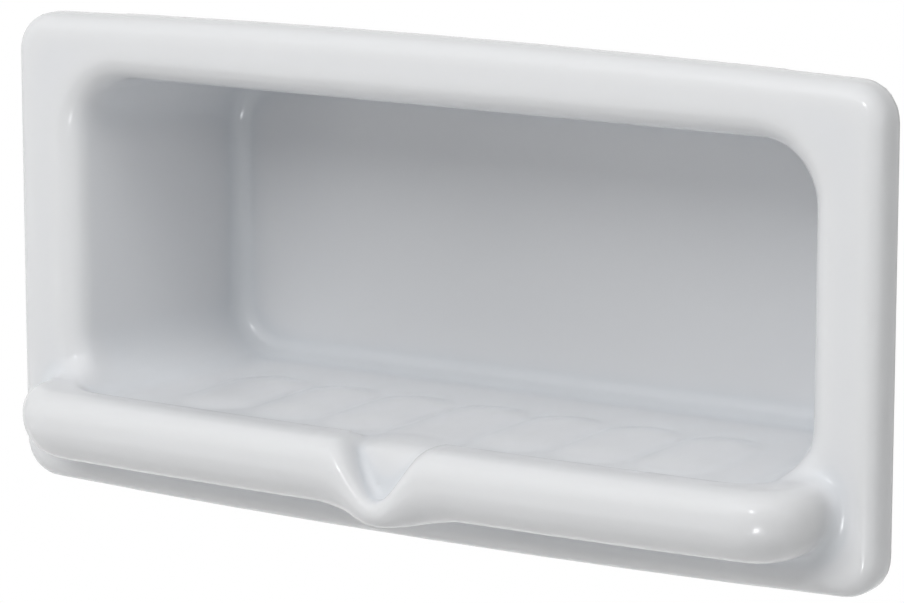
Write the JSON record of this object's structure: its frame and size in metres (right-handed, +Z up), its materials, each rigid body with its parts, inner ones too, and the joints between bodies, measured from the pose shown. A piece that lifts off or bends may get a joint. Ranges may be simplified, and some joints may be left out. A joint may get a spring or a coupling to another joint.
{
  "type": "recessed soap dish",
  "caption": "Wall-recessed glazed china soap dish: crowned frame, drafted pocket with a fluted floor, and a bullnose lip with a central drain spout.",
  "frame": {"origin": "middle of the flange on the wall plane, which is the flange's flat back face", "axes": "+X to the right seen from the front, +Y into the wall, +Z up"},
  "size_m": [0.2, 0.0775, 0.101],
  "materials": {
    "white_glaze": "smooth white gloss glaze"
  },
  "bodies": {
    "root": {"soap_dish_body": "white_glaze"}
  },
  "joints": []
}
